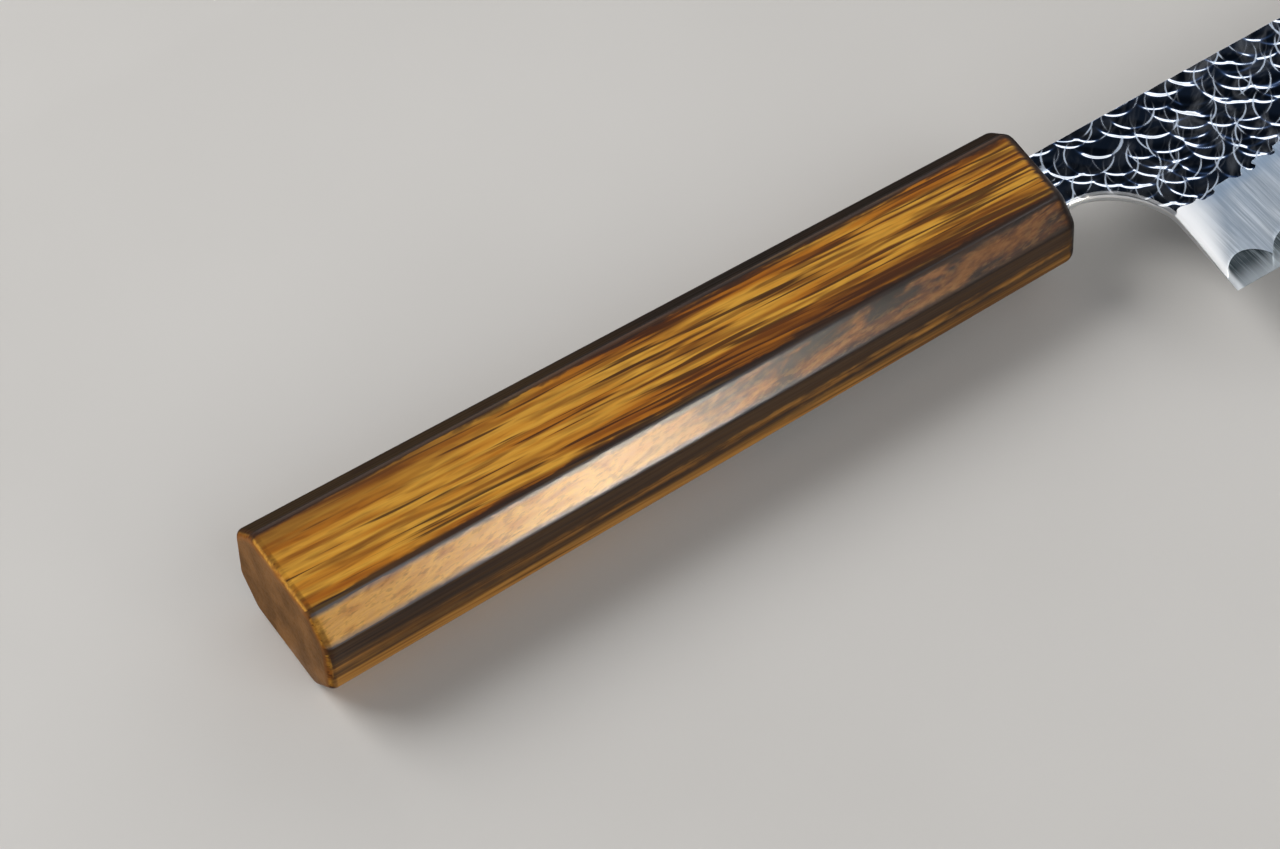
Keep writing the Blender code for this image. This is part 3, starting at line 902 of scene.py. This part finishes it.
def oak_flats(s, forward, y, streaks, pores):
    """Golden wood with dark streaks: browner at the back by the spine, and at the front by the edge."""
    low_side = s.ease(y, FRONT.y - 2.0 * MM, FRONT.y - 7.2 * MM)
    high_side = s.ease(y, FRONT.y + 2.0 * MM, FRONT.y + 8.0 * MM)
    broad = s.noise(s.place((48, 3.4, 3.4), GRAIN_TURN), 3.0, 0.5)
    bands = s.noise(s.place((26, 1.7, 1.7), GRAIN_TURN, (7, 2, 5)), 1.5, 0.5, 0.3)
    fine = s.noise(s.place((12, 0.7, 0.7), GRAIN_TURN, (5, 3, 8)), 0.0)
    gold = s.ramp(broad, [
        (0.3, rgb(140, 76, 22)),
        (0.42, rgb(178, 112, 32)),
        (0.52, rgb(208, 154, 58)),
        (0.6, rgb(196, 134, 44)),
        (0.72, rgb(152, 86, 26)),
    ])
    darker = s.times(low_side, s.ease(forward, 0.1, 0.6, 0.2, 1.0))
    band_edge = s.math("SUBTRACT", 0.545, s.times(darker, 0.17))
    band_share = s.ease(s.math("SUBTRACT", bands, band_edge), 0.0, 0.12)
    wood = s.blend(s.times(band_share, 0.65), gold, rgb(112, 60, 20))
    streak_edge = s.math("SUBTRACT", s.ease(forward, 0.0, 0.9, 0.6, 0.52), s.times(darker, 0.05))
    streak_share = s.ease(s.math("SUBTRACT", streaks, streak_edge), -0.02, 0.1)
    wood = s.blend(s.times(streak_share, 0.88), wood, rgb(52, 28, 17))
    fine_share = s.times(s.ease(fine, 0.45, 0.7), s.ease(forward, 0.0, 0.9, 0.25, 0.75))
    wood = s.blend(fine_share, wood, rgb(94, 51, 20))
    wood = s.blend(s.ease(pores, 0.5, 0.76, 0.0, 0.25), wood, rgb(84, 46, 20))
    near_back = s.times(high_side, s.ease(forward, 0.45, 0.0, 0.0, 0.8))
    wood = s.blend(near_back, wood, rgb(104, 62, 26))
    near_front = s.times(low_side, s.ease(forward, 0.5, 0.95, 0.0, 0.9))
    near_front = s.times(near_front, s.ease(bands, 0.35, 0.55, 0.5, 1.0))
    return s.blend(near_front, wood, rgb(70, 40, 22))


def oak_chamfers(s, forward, y, rays):
    """Mottled wood with flecks: amber towards the butt, copper and then slate towards the front."""
    mottle = s.noise(s.place((13, 2.6, 2.6), 8, (3, 3, 3)), 3.0, 0.6, 0.6)
    copper = s.ramp(mottle, [
        (0.36, rgb(58, 42, 36)),
        (0.46, rgb(110, 66, 36)),
        (0.56, rgb(160, 98, 44)),
        (0.7, rgb(186, 124, 58)),
    ])
    amber = s.ramp(mottle, [
        (0.3, rgb(170, 106, 40)),
        (0.5, rgb(230, 170, 72)),
        (0.7, rgb(196, 130, 50)),
    ])
    wood = s.blend(s.ease(forward, 0.25, 0.6), amber, copper)
    wood = s.blend(s.ease(rays, 0.45, 0.65, 0.0, 0.3), wood, rgb(204, 150, 80))
    wood = s.blend(s.ease(rays, 0.5, 0.34, 0.0, 0.3), wood, rgb(84, 50, 34))
    upper_half = s.ease(y, FRONT.y - 11.2 * MM, FRONT.y - 8.8 * MM)
    slate = s.times(upper_half, s.ease(forward, 0.45, 0.7), s.ease(mottle, 0.62, 0.42, 0.35, 0.95))
    slate = s.times(slate, s.ease(forward, 1.0, 0.93))
    slate = s.math("MAXIMUM", slate, s.ease(forward, 0.6, 0.9, 0.0, 0.4))
    return s.blend(slate, wood, rgb(46, 44, 43))


def oak_butt(s, wood, forward, normal_x, end, wobble):
    """The wood with its end grain, the dark seam around it and the glow of the rounding."""
    end_noise = s.noise(s.place((1, 5, 5), 0, (1, 1, 1)), 2.0, 0.5)
    end_color = s.ramp(end_noise, [(0.35, rgb(122, 88, 56)), (0.65, rgb(150, 108, 68))])
    near_butt = s.ease(forward, 0.2, 0.1)
    glow = s.times(s.ease(end, -0.97, -0.8), s.ease(end, -0.3, -0.6))
    glow = s.times(glow, near_butt, s.ease(wobble, 0.35, 0.6, 0.15, 0.5))
    seam = s.times(s.ease(end, -0.55, -0.35), s.ease(end, 0.15, -0.15))
    seam = s.times(seam, near_butt, s.ease(wobble, 0.6, 0.4, 0.15, 0.6))
    wood = s.blend(s.ease(normal_x, -0.75, -0.95), wood, end_color)
    wood = s.blend(seam, wood, rgb(70, 40, 20))
    return s.blend(glow, wood, rgb(146, 84, 30))


def oak_material():
    """Scorched, straight-grained oak under clear lacquer: golden flats with dark streaks, dark arrises."""
    s = Shader("lacquered_oak")
    normal_x, normal_y, normal_z = s.facing()
    steep = s.math("ABSOLUTE", normal_z)
    chamfer = s.times(s.ease(steep, 0.5, 0.66), s.ease(steep, 0.92, 0.78))
    side = s.ease(s.math("ABSOLUTE", normal_y), 0.85, 0.97)
    x, y, z = s.where()
    forward = s.ease(x, FRONT.x - HANDLE_LENGTH * MM, FRONT.x)
    upward = s.ease(z, FRONT.z - 4 * MM, FRONT.z - 1 * MM)
    corner = s.attribute("corner_gap")
    end = s.attribute("end_gap")
    streaks = s.noise(s.place((21, 0.66, 0.66), GRAIN_TURN, (1, 9, 3)), 1.0, 0.4, 0.2)
    pores = s.noise(s.place((3.5, 0.5, 0.5), GRAIN_TURN, (4, 4, 1)), 0.0)
    rays = s.noise(s.place((2.2, 0.55, 0.55), 10, (1, 3, 3)), 2.0, 0.6)
    wobble = s.noise(s.place((7, 2, 2), 0, (5, 5, 5)), 3.0, 0.65)

    wood = s.blend(chamfer, oak_flats(s, forward, y, streaks, pores), oak_chamfers(s, forward, y, rays))
    # Painted shade: the chamfer on the spine side is painted almost black, as if no light reached it.
    spine_chamfer_painted_shade = s.times(chamfer, s.ease(normal_y, 0.3, 0.6))
    wood = s.blend(s.times(spine_chamfer_painted_shade, 0.97), wood, rgb(23, 15, 8))
    grain = s.noise(s.place((40, 0.8, 0.8), 0, (2, 2, 2)), 1.0, 0.5)
    flank = s.ramp(grain, [
        (0.36, rgb(112, 74, 31)),
        (0.48, rgb(154, 104, 44)),
        (0.62, rgb(184, 130, 58)),
    ])
    wood = s.blend(side, wood, flank)

    # The arrises are scorched. On the two sides the scorching is a wide band, with none low down.
    reach = s.times(s.ease(wobble, 0.35, 0.65, 0.2, 1.5), s.ease(forward, 0.0, 0.3, 0.45, 1.0))
    side_reach = s.times(side, upward, s.ease(forward, 0.0, 1.0, 4.3, 3.0))
    from_arris = s.math("DIVIDE", corner, s.math("ADD", reach, side_reach))
    scorch = s.ease(from_arris, 1.1, s.times(side, 0.6))
    scorch = s.times(scorch, s.blend(side, (1, 1, 1), upward))
    wood = s.blend(s.times(scorch, 0.88), wood, rgb(38, 31, 29))
    palm_chamfer = s.times(chamfer, s.ease(normal_y, -0.3, -0.6))
    # Painted reflection: the arrises of the chamfer on the edge side are painted slate blue, as a
    # reflection in their roundings.
    painted_reflection_edge = s.times(palm_chamfer, s.ease(corner, 1.0, 0.1, 0.0, 0.55))
    wood = s.blend(s.times(painted_reflection_edge, s.ease(forward, 0.9, 0.5)), wood, rgb(98, 102, 110))
    front = s.ease(normal_x, 0.1, 0.5)
    wood = s.blend(s.times(front, 0.92), wood, rgb(30, 20, 17))
    wood = oak_butt(s, wood, forward, normal_x, end, wobble)

    s.set(Base_Color=wood, Roughness=s.ease(streaks, 0.4, 0.7, 0.42, 0.55))
    s.set(Specular_IOR_Level=0.1, Coat_Weight=s.ease(end, 0.0, 0.8, 0.02, 0.18), Coat_Roughness=0.17)
    relief = s.math("ADD", pores, s.times(rays, 0.5))
    s.set(Normal=s.bump(relief, 0.2, 0.03))
    s.set(Coat_Normal=s.bump(s.math("ADD", rays, pores), 0.3, 0.03))
    return s.material


def dowel_material():
    s = Shader("dowel_wood")
    grain = s.noise(s.place((12, 0.35, 0.35)), 4.0, 0.6)
    s.set(Base_Color=s.ramp(grain, [(0.3, (0.38, 0.27, 0.14)), (0.7, (0.6, 0.46, 0.28))]), Roughness=0.75)
    s.set(Normal=s.bump(grain, 0.3, 0.1))
    return s.material


def resin_material(name, dark, light, roughness):
    s = Shader(name)
    cloud = s.noise(s.place((2, 2, 2)), 4.0, 0.6)
    s.set(Base_Color=s.ramp(cloud, [(0.3, dark), (0.7, light)]), Roughness=roughness)
    s.set(Normal=s.bump(s.noise(s.place((0.4, 0.4, 0.4)), 3.0, 0.6), 0.2, 0.05))
    return s.material


def floor_material():
    s = Shader("pale_floor")
    cloud = s.noise(s.place((100, 100, 100)), 3.0, 0.5)
    s.set(Base_Color=s.ramp(cloud, [(0.3, (0.6, 0.58, 0.55)), (0.7, (0.64, 0.62, 0.59))]), Roughness=0.8)
    return s.material


def dress(node, material):
    """Gives a CAD node that stays in view a better material."""
    for material_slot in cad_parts[node].material_slots:
        material_slot.material = material


# Camera, floor and light

# Floor and card, in metres. Both lie just below the knife, with the card on top.
FLOOR_HALF = 6.0
FLOOR_Z = -0.0004
CARD_Z = -0.0002

CAMERA_FROM_FRONT = Vector((-377.9, -511.0, 863.3)) * MM
CAMERA_LENS = 190.77
VIEW_ELEVATION = 55.57
VIEW_AZIMUTH = 59.35
VIEW_ROLL = 3.08

BRIGHT_WALL = (0.515, 0.857, 0)
WALL_STRENGTHS = (0.42, 1.0)
WALL_EDGE = (0.42, 0.64)  # how far into the bright wall's direction the light grows


def make_camera():
    data = bpy.data.cameras.new("camera")
    data.lens = CAMERA_LENS
    data.sensor_width = 36
    camera = bpy.data.objects.new("camera", data)
    bpy.context.scene.collection.objects.link(camera)
    camera.location = FRONT + CAMERA_FROM_FRONT
    tilt = Euler((math.radians(90 - VIEW_ELEVATION), 0, math.radians(VIEW_AZIMUTH - 90))).to_matrix()
    roll = Euler((0, 0, math.radians(-VIEW_ROLL))).to_matrix()
    camera.rotation_euler = (tilt @ roll).to_euler()
    bpy.context.scene.camera = camera


def make_floor():
    mesh = bpy.data.meshes.new("floor")
    half = FLOOR_HALF
    corners = [(-half, -half, 0), (half, -half, 0), (half, half, 0), (-half, half, 0)]
    mesh.from_pydata(corners, [], [(0, 1, 2, 3)])
    floor = bpy.data.objects.new("floor", mesh)
    bpy.context.scene.collection.objects.link(floor)
    floor.location.z = FLOOR_Z
    mesh.materials.append(floor_material())


def make_dark_card():
    """A dark card on the floor around the handle, so that the lacquer doesn't mirror the pale floor."""
    outline = [(-200, -40), (-141, -40), (-141, 0), (0, 0), (0, 8), (90, 8), (90, 110), (-200, 110)]
    mesh = bpy.data.meshes.new("dark_card")
    mesh.from_pydata([(x * MM, y * MM, 0) for x, y in outline], [], [tuple(range(len(outline)))])
    card = bpy.data.objects.new("dark_card", mesh)
    bpy.context.scene.collection.objects.link(card)
    card.location = (FRONT.x, FRONT.y, CARD_Z)
    # Only reflections see it.
    card.visible_camera = False
    card.visible_diffuse = False
    card.visible_shadow = False
    s = Shader("dark_card")
    cloud = s.noise(s.place((200, 200, 200)))
    s.set(Base_Color=s.ramp(cloud, [(0.3, (0.03, 0.026, 0.022)), (0.7, (0.05, 0.045, 0.04))]))
    s.set(Roughness=0.9, Specular_IOR_Level=0.0)
    mesh.materials.append(s.material)


def area_light(name, direction, distance, size, power, color=(1, 1, 1), aim=(0, 0, 0)):
    """A soft box in this direction from the handle's front, facing a place given in mm from there."""
    data = bpy.data.lights.new(name, "AREA")
    data.shape = "RECTANGLE"
    data.size, data.size_y = size
    data.energy = power
    data.color = color
    light = bpy.data.objects.new(name, data)
    bpy.context.scene.collection.objects.link(light)
    toward = Vector(direction).normalized()
    light.location = FRONT + toward * distance
    light.rotation_euler = (Vector(aim) * MM - toward * distance).to_track_quat("-Z", "Y").to_euler()
    light.visible_camera = False
    return light


def make_lamps():
    """Two lamps that give light without being mirrored, and two that only reflections see."""
    key = area_light("key", (-0.6, 0.8, 0.9), distance=1.6, size=(0.9, 0.9), power=17.5)
    key.visible_glossy = False
    # The sheen of the brushed bevel, from a direction that few of the hammer marks face.
    sheen = area_light("bevel_sheen", (0.62, -0.2, 0.76), distance=1.6, size=(0.9, 0.9), power=17.0)
    sheen.visible_diffuse = False
    fill = area_light("fill", (0.2, -1.0, 0.9), distance=1.6, size=(1.2, 1.2), power=6.5)
    fill.visible_glossy = False
    # The long bright line on the handle's chamfer, on the side of the edge.
    highlight = area_light(
        "chamfer_highlight",
        (104, -506, 297),
        distance=0.6,
        size=(0.06, 0.08),
        power=0.051,
        color=(1, 0.9, 0.75),
        aim=(-77, -10, 5),
    )
    highlight.data.spread = math.radians(32)
    highlight.visible_diffuse = False


def make_world():
    """A soft studio: pale walls up to about 42 degrees, then a dark ceiling for the steel to mirror."""
    world = bpy.data.worlds.new("studio")
    bpy.context.scene.world = world
    world.use_nodes = True
    tree = world.node_tree
    background = tree.nodes["Background"]
    coordinates = tree.nodes.new("ShaderNodeTexCoord")
    split = tree.nodes.new("ShaderNodeSeparateXYZ")
    tree.links.new(coordinates.outputs["Generated"], split.inputs[0])
    ramp = tree.nodes.new("ShaderNodeValToRGB")
    tree.links.new(split.outputs["Z"], ramp.inputs["Fac"])
    stops = [
        (0.0, (0.85, 0.85, 0.86)),
        (0.5, (1.0, 1.0, 1.0)),
        (0.64, (1.9, 1.9, 1.9)),
        (0.664, (1.6, 1.7, 1.85)),
        (0.678, (0.2, 0.28, 0.44)),
        (0.7, (0.045, 0.08, 0.17)),
        (0.75, (0.014, 0.025, 0.05)),
        (0.81, (0.006, 0.01, 0.018)),
    ]
    fill_ramp(ramp, stops)
    tree.links.new(ramp.outputs["Color"], background.inputs["Color"])
    # The wall that the hammered face mirrors is the bright one.
    behind = tree.nodes.new("ShaderNodeVectorMath")
    behind.operation = "DOT_PRODUCT"
    behind.inputs[1].default_value = BRIGHT_WALL
    tree.links.new(coordinates.outputs["Generated"], behind.inputs[0])
    bright = tree.nodes.new("ShaderNodeMapRange")
    bright.interpolation_type = "SMOOTHSTEP"
    tree.links.new(behind.outputs["Value"], bright.inputs["Value"])
    for key, number in zip(("From Min", "From Max", "To Min", "To Max"), WALL_EDGE + WALL_STRENGTHS):
        bright.inputs[key].default_value = number
    tree.links.new(bright.outputs["Result"], background.inputs["Strength"])


def main():
    bpy.context.scene.view_settings.view_transform = "Standard"
    make_camera()
    stainless = stainless_material()
    for name, node, side, seed in (
        ("hammered_face_right", "cladding_right", 1, 11),
        ("hammered_face_left", "cladding_left", -1, 23),
    ):
        cladding(name, node, side, seed).data.materials.append(stainless)
    core().data.materials.append(core_material())
    handle().data.materials.append(oak_material())
    dowel = dowel_material()
    dress("dowel_half_right", dowel)
    dress("dowel_half_left", dowel)
    dress("tang_adhesive", resin_material("cured_adhesive", (0.4, 0.3, 0.14), (0.6, 0.5, 0.3), 0.3))
    dress("mouth_seal", resin_material("seal_resin", (0.012, 0.008, 0.006), (0.03, 0.018, 0.012), 0.35))
    make_floor()
    make_dark_card()
    make_lamps()
    make_world()


main()
